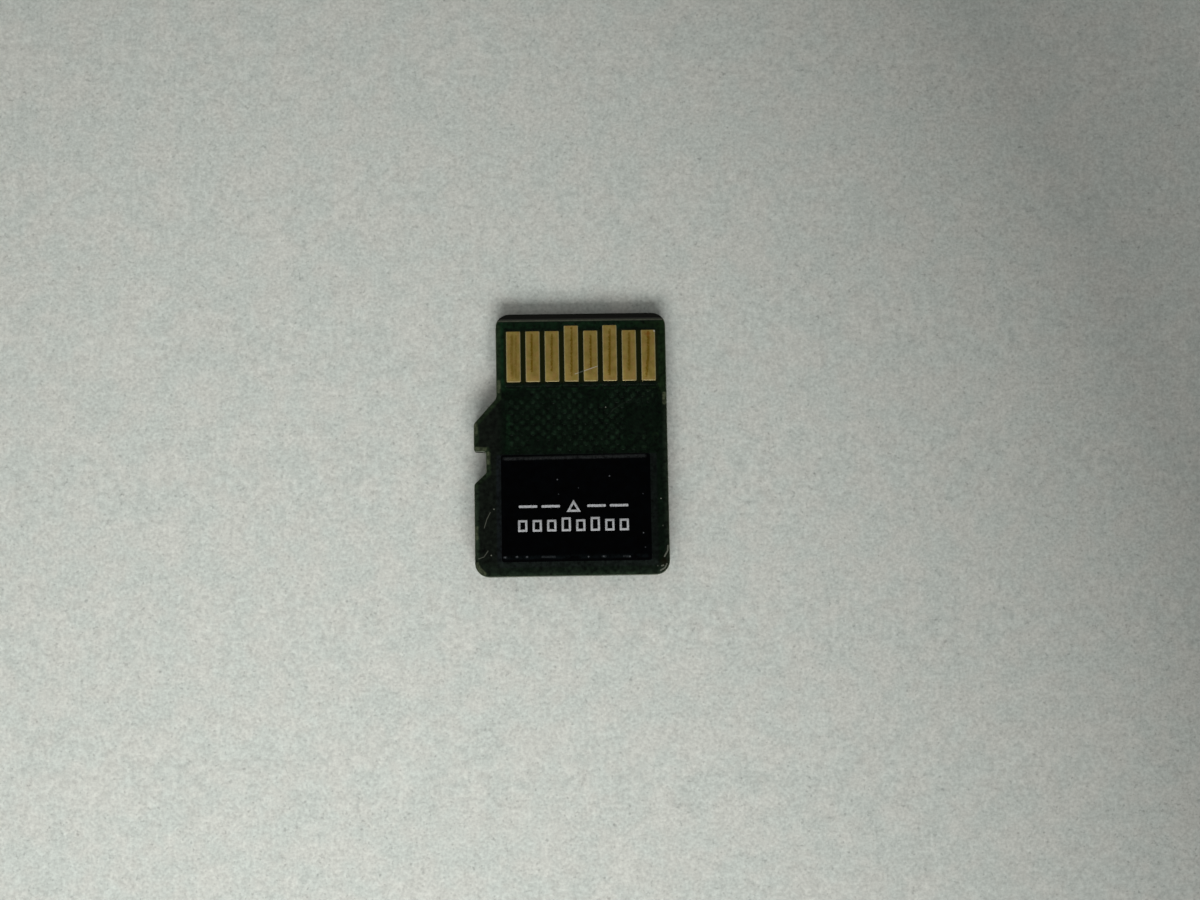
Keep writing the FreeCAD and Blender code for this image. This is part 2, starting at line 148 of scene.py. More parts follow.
# Table: where it touches the grip and the leading edge, and how far that edge lies above the grip
GRIP_TOUCH, LEAD_TOUCH, LEAD_LIFT = -5.9, 7.42, 0.3
TABLE_SIZE = 3000.0

# Window: a broad low rectangle behind the card's rear edge
WINDOW_PLACE = (30.0, -1150.0, 505.0)
WINDOW_WIDTH, WINDOW_HEIGHT = 1150.0, 325.0
WINDOW_WATTS = 25.5
# Grey of the studio by the height of the direction, and how much dimmer it is to the right
SKY_STOPS = [(0.0, (0.53, 0.53, 0.52)), (0.5, (0.56, 0.56, 0.55)), (0.78, (0.34, 0.34, 0.335)),
             (0.92, (0.04, 0.04, 0.04))]
SKY_SLANT = 0.4

CAMERA_PLACE = (-0.538, -9.221, 95.149)
CAMERA_AIM = (1.647, -0.396, 1.0)
CAMERA_UP = (0.0151, 0.9955, 0.0937)
CAMERA_LENS, CAMERA_SENSOR = 50, 36
CAMERA_NEAR, CAMERA_FAR = 2.0, 5000.0

# Points nearer to each other than this count as level or in line
TOLERANCE = 1e-4


class Shade:
    """A shader value: arithmetic on it adds Math nodes to its material."""

    def __init__(self, tree, socket):
        self.tree = tree
        self.socket = socket

    def add(self, kind, settings=None, sockets=None, out=0):
        """Add any node: its settings first, then the values or links of its sockets."""
        node = self.tree.nodes.new(kind)
        for name, value in (settings or {}).items():
            if name == "stops":
                ramp = node.color_ramp
                while len(ramp.elements) < len(value):
                    ramp.elements.new(0.5)
                for stop, (place, colour) in zip(ramp.elements, value):
                    stop.position = place
                    stop.color = (*colour, 1.0)
            else:
                setattr(node, name, value)
        for name, value in (sockets or {}).items():
            plug(self.tree, node.inputs[name], value)
        return Shade(self.tree, node.outputs[out])

    def math(self, operation, *others, **settings):
        return self.add("ShaderNodeMath", {"operation": operation, **settings},
                        dict(enumerate((self, *others))))

    def __add__(self, other):
        return self.math("ADD", other)

    __radd__ = __add__

    def __sub__(self, other):
        return self.math("SUBTRACT", other)

    def __rsub__(self, other):
        return self.add("ShaderNodeMath", {"operation": "SUBTRACT"}, {0: other, 1: self})

    def __mul__(self, other):
        return self.math("MULTIPLY", other)

    __rmul__ = __mul__

    def __truediv__(self, other):
        return self.math("DIVIDE", other)

    def __abs__(self):
        return self.math("ABSOLUTE")

    def step(self, low, high):
        """0 below low and 1 above high, or the other way round, smoothly."""
        return self.add("ShaderNodeMapRange", {"interpolation_type": "SMOOTHSTEP"},
                        {"Value": self, "From Min": low, "From Max": high})

    def clamped(self):
        return self.math("ADD", 0.0, use_clamp=True)

    def mix(self, first, second):
        """Blend two colours by this value."""
        return self.add("ShaderNodeMix", {"data_type": "RGBA"}, {0: self, 6: first, 7: second}, out=2)

    def scaled(self, amount):
        """Scale a colour or a place."""
        return self.add("ShaderNodeVectorMath", {"operation": "SCALE"}, {0: self, "Scale": amount})

    def xyz(self):
        split = self.tree.nodes.new("ShaderNodeSeparateXYZ")
        plug(self.tree, split.inputs[0], self)
        return [Shade(self.tree, socket) for socket in split.outputs]

    def noise(self, scale, detail=2.0, roughness=0.5, stretch=(1, 1, 1)):
        place = self
        if tuple(stretch) != (1, 1, 1):
            place = self.add("ShaderNodeVectorMath", {"operation": "MULTIPLY"}, {0: self, 1: stretch})
        return self.add("ShaderNodeTexNoise", None, {
            "Vector": place, "Scale": scale, "Detail": detail, "Roughness": roughness})


def plug(tree, socket, value):
    """Link a shader value to a socket, or set the socket to a plain value."""
    if isinstance(value, Shade):
        tree.links.new(value.socket, socket)
    elif isinstance(value, (tuple, list)) and socket.type == "RGBA" and len(value) == 3:
        socket.default_value = (*value, 1.0)
    else:
        socket.default_value = value


def new_finish(name):
    """A material, its place in millimetres on the card, and its surface shader."""
    material = bpy.data.materials.new(name)
    material.use_nodes = True
    tree = material.node_tree
    tree.nodes.clear()
    output = tree.nodes.new("ShaderNodeOutputMaterial")
    surface = tree.nodes.new("ShaderNodeBsdfPrincipled")
    tree.links.new(surface.outputs[0], output.inputs[0])
    start = Shade(tree, tree.nodes.new("ShaderNodeTexCoord").outputs["Object"])
    return material, start.scaled(1 / MM), surface


def dress(surface, **sockets):
    """Set or link the surface shader's sockets; underscores stand for spaces."""
    tree = surface.id_data
    for name, value in sockets.items():
        plug(tree, surface.inputs[name.replace("_", " ")], value)


def bump(height, distance):
    """Relief whose full height stands a distance in millimetres."""
    return height.add("ShaderNodeBump", None, {
        "Height": height, "Distance": distance * MM, "Strength": 1.0})


def union(marks):
    """The strongest of several marks at each place."""
    return reduce(lambda total, mark: total.math("MAXIMUM", mark), marks)


def inside(x, y, box, soft):
    """1 inside a box of (low x, low y, high x, high y), fading over a soft edge."""
    low_x, low_y, high_x, high_y = box
    return (x.step(low_x - soft, low_x + soft) * x.step(high_x + soft, high_x - soft)
            * y.step(low_y - soft, low_y + soft) * y.step(high_y + soft, high_y - soft))


def from_point(x, y, spot):
    """Distance in the card's plane to a place."""
    dx, dy = x - spot[0], y - spot[1]
    return (dx * dx + dy * dy).math("SQRT")


def from_segment(x, y, start, end):
    """Distance in the card's plane to a straight stroke."""
    run, rise = end[0] - start[0], end[1] - start[1]
    length = run * run + rise * rise
    dx, dy = x - start[0], y - start[1]
    along = ((dx * run + dy * rise) / length).clamped()
    ex, ey = dx - along * run, dy - along * rise
    return (ex * ex + ey * ey).math("SQRT")


def strokes(x, y, lines, width):
    """Union of strokes of one width; each line is a chain of places."""
    return union(from_segment(x, y, start, end).step(width, width * 0.45)
                 for chain in lines for start, end in zip(chain, chain[1:]))


def spots(x, y, places, radius):
    """Union of round spots of one radius."""
    return union(from_point(x, y, spot).step(radius, radius * 0.4) for spot in places)


def dot_grid(x, y, shift):
    """Soft round dots on one square grid, moved over by a share of its pitch."""
    u = ((x - DOT_ORIGIN[0]) / DOT_PITCH + (0.5 + shift)).math("FRACT") - 0.5
    v = ((y - DOT_ORIGIN[1]) / DOT_PITCH + (0.5 + shift)).math("FRACT") - 0.5
    reach = (u * u + v * v).math("SQRT") * DOT_PITCH
    return reach.step(DOT_RADIUS * 1.35, DOT_RADIUS * 0.2)


def dots_all(x, y):
    """Soft round dots of the copper pattern, over the whole card."""
    return union(dot_grid(x, y, shift) for shift in DOT_SHIFTS)


def dot_lattice(x, y):
    """The dots, left out of the pattern's blank fields."""
    field = inside(x, y, DOT_FIELD, 0.08)
    for blank in DOT_BLANKS:
        field = field * (1 - inside(x, y, blank, 0.08))
    return dots_all(x, y) * field


def contact_phase(x):
    """Place across one pitch of the contact row, from 0 to 1."""
    return ((x - LEAD_MIDDLE) / CONTACT_PITCH).math("FRACT")


def copper_shows(x, y, mottle, uneven):
    """How strongly copper shows through the mask: the dots alone, and all of it."""
    dots = dot_lattice(x, y) * (mottle.step(0.3, 0.62) * 0.6 + 0.4)
    dots = dots * (uneven.step(0.32, 0.62) * 0.75 + 0.25)
    border = union([x.step(-3.6, -3.85) * y.step(2.9, 3.3), x.step(4.88, 5.15) * y.step(2.6, 3.2),
                    y.step(-7.25, -7.42) * 0.6, x.step(-5.15, -5.38) * 0.8, y.step(6.45, 6.75) * 0.55])
    from_gap = (0.5 - abs(contact_phase(x) - 0.5)) * CONTACT_PITCH
    hem = y - (from_gap.step(0.22, 0.02) * 0.22 + 3.14)
    hem_line = abs(hem).step(0.06, 0.02) * inside(x, y, HEM_FIELD, 0.05)
    track = strokes(x, y, [EDGE_TRACK], 0.16) * (y.step(0.2, 0.9) * 0.6 + 0.4) * mottle.step(0.3, 0.5)
    rings = union(abs(from_point(x, y, spot) - 0.15).step(0.08, 0.02) for spot in VIA_PLACES)
    copper = (dots * 0.8 + border * 0.76 + hem_line * 0.5 + track * 0.5 + rings * 0.3).clamped()
    return dots, copper


def mask_fields(x, y, lacquer, mottle):
    """The lacquer's own fields: grey by the notch, mottled at the rear, slate round the patch."""
    notch_grey, rear_green = (0.0052, 0.0064, 0.0049), (0.0062, 0.0106, 0.0066)
    slate_left, slate_right = (0.0050, 0.0066, 0.0074), (0.0034, 0.0049, 0.0043)
    slate_rear = (0.0060, 0.0086, 0.0074)
    lacquer = (x.step(-3.7, -4.3) * y.step(3.0, 2.4) * 0.7).mix(lacquer, notch_grey)
    rear_margin = y.step(-6.6, -6.85) * (dots_all(x, y) * 0.5 + mottle.step(0.35, 0.65) * 0.45 + 0.25)
    lacquer = rear_margin.clamped().mix(lacquer, rear_green)
    slate = x.step(-3.0, 4.0).mix(slate_left, slate_right)
    slate = y.step(-6.5, -6.75).mix(slate, slate_rear)
    return (inside(x, y, PATCH_HALO, 0.07) * (mottle.step(0.3, 0.6) * 0.4 + 0.6)).mix(lacquer, slate)


def worn_and_lit_rims(x, y, lacquer, mottle):
    """The lacquer worn thin and pale along the card's edges, and a painted highlight where the rear and
    left rims catch the light; the right rim is painted dimmer.
    """
    rear_pale, tab_pale = (0.0122, 0.0208, 0.0122), (0.0155, 0.0235, 0.0145)
    notch_pale, right_pale = (0.0100, 0.0180, 0.0080), (0.0082, 0.0126, 0.0076)
    worn = mottle.step(0.25, 0.6) * 0.5 + 0.5
    # Rear and left rims: wear and painted highlight together; the right rim below is painted dimmer, as
    # in shade
    lacquer = (y.step(-7.18, -7.4) * worn).mix(lacquer, rear_pale)
    lacquer = (x.step(-5.2, -5.38) * y.step(1.4, 0.9) * worn).mix(lacquer, tab_pale)
    lacquer = (strokes(x, y, [LEFT_RIM], 0.27) * worn * 0.9).mix(lacquer, notch_pale)
    return (x.step(5.15, 5.42) * y.step(3.0, 2.0) * worn).mix(lacquer, right_pale)


def mask_finish():
    """Dark green lacquer: lighter over copper, scraped pale at rubbed edges."""
    deep, thin = (0.0009, 0.0035, 0.0013), (0.0015, 0.0042, 0.0020)
    mottled, dot_green = (0.0030, 0.0064, 0.0036), (0.0070, 0.0136, 0.0082)
    copper_left, copper_right = (0.0040, 0.0168, 0.0062), (0.0060, 0.0140, 0.0044)
    track_green, grain_green = (0.020, 0.028, 0.020), (0.0095, 0.0140, 0.0100)
    gap_olive, rub_pale = (0.0070, 0.0084, 0.0008), (0.062, 0.074, 0.042)
    burn_brown, bare_pale = (0.0065, 0.0035, 0.001), (0.130, 0.138, 0.108)
    material, place, surface = new_finish("mask_lacquer")
    x, y, _ = place.xyz()
    cloud = place.noise(0.9, 3.0, 0.6)
    mottle = place.noise(2.6, 3.0, 0.65)
    grain = place.noise(14.0, 3.0, 0.6)
    speckle = place.noise(5.5, 2.0, 0.55)
    dots, copper = copper_shows(x, y, mottle, place.noise(1.5, 3.0, 0.6))
    lacquer = cloud.step(0.35, 0.7).mix(deep, thin)
    lacquer = (mottle.step(0.45, 0.75) * 0.5).mix(lacquer, mottled)
    lacquer = mask_fields(x, y, lacquer, mottle)
    lacquer = copper.mix(lacquer, x.step(3.0, 4.9).mix(copper_left, copper_right))
    lacquer = (dots * 0.65).mix(lacquer, dot_green)
    lacquer = worn_and_lit_rims(x, y, lacquer, mottle)
    fine = strokes(x, y, [FINE_TRACK], FINE_TRACK_WIDTH)
    lacquer = (fine * grain.step(0.3, 0.6) * 0.4).mix(lacquer, track_green)
    lacquer = lacquer.scaled((speckle - 0.5) * 3.4 + 0.98)
    lacquer = (grain.step(0.5, 0.8) * 0.42).mix(lacquer, grain_green)
    lacquer = (inside(x, y, CONTACT_FIELD, 0.1) * 0.85).mix(lacquer, gap_olive)
    rubbed = strokes(x, y, EDGE_RUBS, 0.16)
    rubbed = rubbed * rubbed * (speckle.step(0.36, 0.6) * 0.65 + 0.35) * grain.step(0.2, 0.48)
    lacquer = (rubbed * 0.85).mix(lacquer, rub_pale)
    burn = from_point(x, y, CORNER_BURN).step(0.34, 0.05) * grain.step(0.35, 0.6)
    lacquer = (burn * 0.8).mix(lacquer, burn_brown)
    bare = union([strokes(x, y, CORNER_SCRAPES, 0.055) * grain.step(0.25, 0.5) * 0.75,
                  strokes(x, y, HAIR_SCRATCHES, 0.03) * 0.45, strokes(x, y, CONTACT_SCRATCH, 0.03) * 0.5,
                  spots(x, y, MASK_SPECKS, 0.05), spots(x, y, FAINT_SPECKS, 0.05) * 0.35])
    lacquer = bare.mix(lacquer, bare_pale)
    dress(surface, Base_Color=lacquer, Specular_IOR_Level=0.14,
          Roughness=(grain * 0.14 + 0.26 + bare * 0.3),
          Normal=bump(copper * 0.8 + grain * 0.15 - bare, 0.006))
    return material


def gold_finish():
    """Hard gold plate with the tracks that sockets wiped down the contacts."""
    gold_dull, gold_clear = (0.48, 0.354, 0.083), (0.56, 0.425, 0.125)
    gold_pink, gold_green = (0.58, 0.352, 0.12), (0.41, 0.322, 0.052)
    gold_pitted, gold_brushed = (0.36, 0.24, 0.045), (0.535, 0.40, 0.125)
    gold_wiped, gold_rim = (0.22, 0.138, 0.009), (0.66, 0.60, 0.34)
    gold_stain, gold_bright = (0.34, 0.135, 0.018), (1.0, 0.92, 0.74)
    material, place, surface = new_finish("contact_gold")
    x, y, _ = place.xyz()
    off_middle = abs((contact_phase(x) - 0.5) * CONTACT_PITCH)
    brushed = place.noise(5.0, 3.0, 0.6, (6.0, 0.35, 1.0))
    patina = place.noise(3.2, 4.0, 0.62)
    blotch = place.noise(6.5, 3.0, 0.6, (1.0, 0.7, 1.0))
    pits = place.noise(26.0, 2.0, 0.5)
    ragged = place.noise(9.0, 3.0, 0.65)
    shaken = x + (ragged - 0.5) * 0.17 + (pits - 0.5) * 0.09
    wipe = union(strokes(shaken, y, [chain], width) * depth for chain, width, depth in WIPES)
    wipe = wipe * (ragged.step(0.3, 0.56) * 0.6 + 0.4)
    haze = off_middle.step(0.26, 0.04) * 0.2 * y.step(3.75, 4.2) * y.step(6.4, 5.9)
    rim = union([off_middle.step(0.315, 0.385), y.step(3.64, 3.585)])
    stain = spots(x, y, CONTACT_STAINS, 0.2) * patina.step(0.42, 0.6)
    scratch = union([strokes(x, y, CONTACT_SCRATCH, 0.032) * 0.8, spots(x, y, CONTACT_NICK, 0.1)])
    plate = patina.step(0.3, 0.72).mix(gold_dull, gold_clear)
    plate = (blotch.step(0.43, 0.63) * 0.7).mix(plate, gold_pink)
    plate = (ragged.step(0.48, 0.7) * 0.5).mix(plate, gold_green)
    plate = (pits.step(0.56, 0.74) * 0.35).mix(plate, gold_pitted)
    plate = (brushed.step(0.35, 0.75) * 0.2).mix(plate, gold_brushed)
    plate = (haze + wipe).clamped().mix(plate, gold_wiped)
    plate = (rim * 0.55).mix(plate, gold_rim)
    plate = (stain * 0.7).mix(plate, gold_stain)
    plate = scratch.mix(plate, gold_bright)
    dress(surface, Base_Color=plate, Metallic=1.0,
          Roughness=(patina * 0.14 + 0.43 + wipe * 0.1 - scratch * 0.06),
          Normal=bump(brushed * 0.5 + pits * 0.4 - wipe * 1.2 - scratch, 0.002))
    return material


def laminate_finish():
    """Glass-cloth laminate: pale cut core at the edges, green-stained and rubbed on its rim."""
    resin_dark, resin_pale = (0.055, 0.066, 0.039), (0.14, 0.158, 0.102)
    fleck_pale, chip_dark = (0.20, 0.20, 0.15), (0.030, 0.034, 0.020)
    foot_dark, stain_green = (0.018, 0.020, 0.013), (0.0105, 0.0205, 0.0088)
    rub_pale = (0.085, 0.095, 0.052)
    material, place, surface = new_finish("laminate_core")
    x, y, z = place.xyz()
    fibre = place.noise(9.0, 3.0, 0.65, (1.0, 1.0, 7.0))
    fleck = place.noise(22.0, 2.0, 0.6)
    chip = place.noise(3.1, 3.0, 0.6)
    core = fibre.step(0.3, 0.72).mix(resin_dark, resin_pale)
    core = (fleck.step(0.55, 0.75) * 0.5).mix(core, fleck_pale)
    core = (chip.step(0.62, 0.4) * 0.45).mix(core, chip_dark)
    core = z.step(0.945, 0.92).mix(core, foot_dark)
    stain = z.step(0.955, 0.978) * (1 - y.step(6.85, 6.95))
    stain = stain * (1 - chip.step(0.58, 0.72) * 0.7)
    core = (stain * 0.9).mix(core, stain_green)
    rubbed = union([strokes(x, y, EDGE_RUBS, 0.1) * 0.5, strokes(x, y, CORNER_SCRAPES, 0.12) * 0.85])
    core = rubbed.mix(core, rub_pale)
    dress(surface, Base_Color=core, Roughness=(fibre * 0.25 + 0.45), Specular_IOR_Level=0.3,
          Normal=bump(fibre + fleck * 0.5, 0.008))
    return material


def mould_finish():
    """Black filled epoxy: fine grain, sawn sides and rubbed corners."""
    epoxy_dark, epoxy_pale = (0.0013, 0.0018, 0.0006), (0.0036, 0.0044, 0.0018)
    filler_grey, rub_grey = (0.020, 0.020, 0.017), (0.009, 0.0095, 0.0080)
    material, place, surface = new_finish("mould_epoxy")
    grain = place.noise(30.0, 4.0, 0.65)
    filler = place.add("ShaderNodeTexVoronoi", None, {"Vector": place, "Scale": 16.0})
    sawn = place.noise(4.0, 3.0, 0.6, (1.0, 1.0, 9.0))
    rub = place.noise(1.6, 3.0, 0.6)
    epoxy = grain.step(0.3, 0.75).mix(epoxy_dark, epoxy_pale)
    epoxy = (filler.step(0.12, 0.02) * 0.4).mix(epoxy, filler_grey)
    epoxy = (rub.step(0.55, 0.8) * 0.35).mix(epoxy, rub_grey)
    dress(surface, Base_Color=epoxy, Roughness=(grain * 0.2 + 0.42), Specular_IOR_Level=0.1,
          Normal=bump(grain * 0.6 + sawn * 0.5, 0.01))
    return material


def ink_finish():
    """Black ink, smooth in the field, with painted sheen along the beads at its front and rear edges
    where they catch the window, broken into glints at the rear.
    """
    ink_black, ink_blue = (0.0003, 0.0003, 0.0004), (0.0004, 0.0006, 0.0009)
    lint_grey, rear_sheen_grey = (0.005, 0.005, 0.006), (0.0042, 0.0064, 0.0070)
    front_sheen_grey, rub_grey = (0.0200, 0.0215, 0.0215), (0.026, 0.030, 0.032)
    glint_speck_grey, faint_grey = (0.07, 0.075, 0.08), (0.026, 0.028, 0.030)
    dust_grey = (0.085, 0.09, 0.095)
    material, place, surface = new_finish("patch_ink")
    x, y, _ = place.xyz()
    flow = place.noise(2.2, 3.0, 0.55)
    grain = place.noise(18.0, 3.0, 0.6)
    # Painted sheen: a grey line along the crest of the front bead, where it catches the window
    crest = y - (x * 0.009 - 0.785) + (grain - 0.5) * 0.12
    front = abs(crest).step(0.14, 0.02) * x.step(-3.95, -3.7) * x.step(4.35, 4.1)
    front = front * (place.noise(4.0, 3.0).step(0.25, 0.6) * 0.7 + 0.3) * grain.step(0.2, 0.6)
    # Painted sheen along the rear bead, with painted glints on it in short strokes
    rear_bead_sheen = abs(y + 6.41).step(0.17, 0.03) * x.step(-3.95, -3.7) * x.step(4.4, 4.2)
    rear_bead_sheen = rear_bead_sheen * place.noise(3.0, 3.0).step(0.35, 0.65) * 0.6
    rear_glints = strokes(x, y, REAR_BEAD_GLINTS, 0.08) * grain.step(0.3, 0.55)
    lint = grain.step(0.68, 0.8) * 0.25
    ink = flow.step(0.35, 0.7).mix(ink_black, ink_blue)
    ink = lint.mix(ink, lint_grey)
    ink = rear_bead_sheen.mix(ink, rear_sheen_grey)
    ink = front.mix(ink, front_sheen_grey)
    # The rear bead's painted glints take the same grey as the rubs
    ink = (rear_glints * 0.7).mix(ink, rub_grey)
    ink = spots(x, y, REAR_BEAD_GLINT_SPECKS, 0.06).mix(ink, glint_speck_grey)
    ink = spots(x, y, FAINT_DUST, 0.05).mix(ink, faint_grey)
    ink = spots(x, y, PATCH_DUST, 0.05).mix(ink, dust_grey)
    dress(surface, Base_Color=ink, Roughness=(flow * 0.1 + 0.22 + lint * 0.5), Specular_IOR_Level=0.09,
          Normal=bump(grain * 0.4 + flow, 0.003))
    return material


def print_finish():
    """Worn pale print."""
    thin, full, gone = (0.19, 0.196, 0.2), (0.39, 0.40, 0.41), (0.10, 0.104, 0.11)
    material, place, surface = new_finish("print_pale")
    cover = place.noise(9.0, 4.0, 0.65)
    speck = place.noise(34.0, 2.0, 0.6)
    tone = cover.step(0.25, 0.6).mix(thin, full)
    tone = (speck.step(0.6, 0.72) * 0.6).mix(tone, gone)
    dress(surface, Base_Color=tone, Roughness=(speck * 0.2 + 0.5), Specular_IOR_Level=0.3,
          Normal=bump(cover + speck * 0.5, 0.003))
    return material


def inner_finish(name, dark, pale, scale, metal=0.0, rough=0.4):
    """Finish for the pieces buried in the moulding."""
    material, place, surface = new_finish(name)
    cloud = place.noise(scale, 4.0, 0.6)
    grain = place.noise(scale * 7, 2.0, 0.6)
    tone = (cloud.step(0.3, 0.7) * 0.8 + grain * 0.2).clamped().mix(dark, pale)
    dress(surface, Base_Color=tone, Metallic=metal, Roughness=(grain * 0.2 + rough),
          Normal=bump(grain, 0.002))
    return material


def floor_finish():
    """Pale matte table with a fine tooth; painted shade of the light's fall across the table darkens it
    toward the far right, pale again beyond.
    """
    darkest_painted_shade, palest_painted_light, far_level = 0.23, 0.62, 0.6
    cool_tint, warm_tint = (0.97, 1.035, 0.96), (1.0, 1.02, 0.94)
    material, place, surface = new_finish("table_pale")
    x, y, _ = place.xyz()
    paper = place.noise(0.5, 3.0, 0.6)
    dapple = place.noise(1.9, 2.0, 0.5)
    tooth = place.noise(5.5, 3.0, 0.6)
    fleck = place.noise(4.2, 2.0, 0.5).step(0.63, 0.74)
    # Painted shade: the window's fall of light across the table, darker toward +x and +y, set as a slope
    # in the colour
    level = 0.491 - x * 0.0041 - y * 0.0038 - x * x * 0.0001 - y * y * 0.00002
    level = level.math("MAXIMUM", darkest_painted_shade).math("MINIMUM", palest_painted_light)
    level = level + from_point(x, y, (0, 0)).step(40, 90) * (far_level - level)
    grainy = (tooth - 0.5) * 0.8 + (dapple - 0.5) * 0.3 + (paper - 0.5) * 0.14 - fleck * 0.22 + 1.035
    level = level * grainy
    tone = level.mix((0.0, 0.0, 0.0), paper.step(0.35, 0.65).mix(cool_tint, warm_tint))
    dress(surface, Base_Color=tone, Roughness=0.75, Specular_IOR_Level=0.1, Normal=bump(tooth, 0.008))
    return material


def deselect():
    if bpy.context.mode != "OBJECT":
        bpy.ops.object.mode_set(mode="OBJECT")
    bpy.ops.object.select_all(action="DESELECT")


def in_metres(place):
    return [part * MM for part in place]


def start_piece(name, primitive, **settings):
    """Add a primitive with nothing else selected and put its place in its mesh."""
    deselect()
    primitive(**settings)
    piece = bpy.context.object
    piece.name = piece.data.name = name
    bpy.ops.object.transform_apply(location=True, rotation=True, scale=True)
    return piece


def start_block(name, low, high):
    """A block between two corners in metres, as the frame gives them."""
    middle = [(a + b) / 2 for a, b in zip(low, high)]
    size = [b - a for a, b in zip(low, high)]
    return start_piece(name, bpy.ops.mesh.primitive_cube_add, size=1, location=middle, scale=size)


def start_sheet(name, low, high, level):
    """A flat rectangle between two corners, in millimetres."""
    middle = ((low[0] + high[0]) / 2, (low[1] + high[1]) / 2, level)
    deselect()
    bpy.ops.mesh.primitive_plane_add(size=MM, location=in_metres(middle))
    bpy.ops.transform.resize(value=(high[0] - low[0], high[1] - low[1], 1))
    sheet = bpy.context.object
    sheet.name = sheet.data.name = name
    bpy.ops.object.transform_apply(location=True, rotation=True, scale=True)
    return sheet


def pick(piece, mode, wanted):
    """Enter edit mode with the items selected whose points, in millimetres, pass a test."""
    bpy.ops.object.mode_set(mode="EDIT")
    bpy.ops.mesh.select_mode(type=mode)
    bpy.ops.mesh.select_all(action="DESELECT")
    bpy.ops.object.mode_set(mode="OBJECT")
    mesh = piece.data
    items = {"FACE": mesh.polygons, "EDGE": mesh.edges, "VERT": mesh.vertices}[mode]
    for item in items:
        points = [item.co] if mode == "VERT" else [mesh.vertices[i].co for i in item.vertices]
        item.select = wanted([point / MM for point in points])
    bpy.ops.object.mode_set(mode="EDIT")


def every(points):
    return True


def upright(points):
    return abs(points[0].z - points[-1].z) > TOLERANCE and (points[0] - points[-1]).xy.length < TOLERANCE


def at_corner(points):
    """An edge that stands up, or runs slantwise from one ring of an inset corner to the next."""
    run = points[0] - points[-1]
    return upright(points) or (abs(run.x) > TOLERANCE and abs(run.y) > TOLERANCE)


def at_level(level):
    return lambda points: all(abs(point.z - level) < TOLERANCE for point in points)


def raise_faces(lift):
    """Draw the selected faces up by a lift in millimetres."""
    bpy.ops.mesh.extrude_region_move(TRANSFORM_OT_translate={"value": (0, 0, lift * MM)})


def inset_rings(steps):
    """Inset the selected face ring by ring, each with its width and rise."""
    for width, lift in steps:
        bpy.ops.mesh.inset(thickness=width * MM, depth=lift * MM)


def bevel_edges(piece, wanted, offset, segments):
    """Bevel the edges that a test accepts."""
    pick(piece, "EDGE", wanted)
    bpy.ops.mesh.bevel(offset=offset * MM, segments=segments, affect="EDGES")
    bpy.ops.object.mode_set(mode="OBJECT")


def soften(piece, width):
    """Break a piece's sharp edges with a small bevel, and apply it."""
    edge = piece.modifiers.new("edge", "BEVEL")
    edge.width, edge.segments, edge.limit_method = width * MM, 2, "ANGLE"
    apply_modifiers(piece)


def apply_modifiers(piece):
    bpy.context.view_layer.objects.active = piece
    for modifier in list(piece.modifiers):
        bpy.ops.object.modifier_apply(modifier=modifier.name)


def copy_piece(piece, name, shift):
    """A copy with its own mesh, moved by a shift in millimetres."""
    deselect()
    piece.select_set(True)
    bpy.context.view_layer.objects.active = piece
    bpy.ops.object.duplicate(linked=False)
    twin = bpy.context.object
    twin.name = twin.data.name = name
    bpy.ops.transform.translate(value=in_metres(shift))
    bpy.ops.object.transform_apply(location=True, rotation=True, scale=True)
    return twin


def place_piece(piece, finish, slot, *replaced, angle=40):
    """Finish a piece: outward faces, smooth shading, material and body; its slot is not used."""
    deselect()
    piece.select_set(True)
    bpy.context.view_layer.objects.active = piece
    bpy.ops.object.mode_set(mode="EDIT")
    bpy.ops.mesh.select_all(action="SELECT")
    bpy.ops.mesh.normals_make_consistent(inside=False)
    bpy.ops.object.mode_set(mode="OBJECT")
    bpy.ops.object.shade_smooth_by_angle(angle=math.radians(angle))
    piece.data.materials.clear()
    piece.data.materials.append(finish)
    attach(piece, "root")
    if replaced:
        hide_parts(*replaced)


def contact_plate(number):
    """One contact with rounded corners and a softly broken top edge."""
    low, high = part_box(f"contact_{number}")
    plate = start_block(f"contact_plate_{number}", low, high)
    bevel_edges(plate, upright, CONTACT_CORNER, 5)
    bevel_edges(plate, at_level(high.z / MM), CONTACT_EDGE, 3)
    return plate


def contact_collar(number):
    """Mask standing over the copper that runs out past a contact's window."""
    low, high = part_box(f"contact_{number}")
    low, high = low / MM, high / MM
    middle = (low.x + high.x) / 2
    window = (high.x - low.x) / 2 + COLLAR_GAP + TOLERANCE
    collar = start_sheet(f"contact_collar_{number}", (low.x - COLLAR_SIDE, low.y - COLLAR_REAR),
                         (high.x + COLLAR_SIDE, high.y + COLLAR_LEAD), MASK_TOP - COLLAR_RISE)
    pick(collar, "FACE", every)
    inset_rings([(COLLAR_SIDE - COLLAR_GAP, 0)])
    bpy.ops.object.mode_set(mode="OBJECT")
    # The ends of the inner ring draw in to the window, leaving the longer aprons there
    for end, out, pull in ((low.y - COLLAR_GAP, -1, COLLAR_REAR - COLLAR_SIDE),
                           (high.y + COLLAR_GAP, 1, COLLAR_SIDE - COLLAR_LEAD)):
        pick(collar, "VERT", lambda points: (abs(points[0].x - middle) < window
                                             and (points[0].y - end) * out > TOLERANCE))
        bpy.ops.transform.translate(value=(0, pull * MM, 0))
        bpy.ops.object.mode_set(mode="OBJECT")
    pick(collar, "FACE", lambda points: all(abs(point.x - middle) < window for point in points))
    bpy.ops.mesh.delete(type="FACE")
    bpy.ops.mesh.select_all(action="SELECT")
    raise_faces(2 * COLLAR_RISE)
    bpy.ops.object.mode_set(mode="OBJECT")
    soften(collar, COLLAR_EDGE)
    return collar


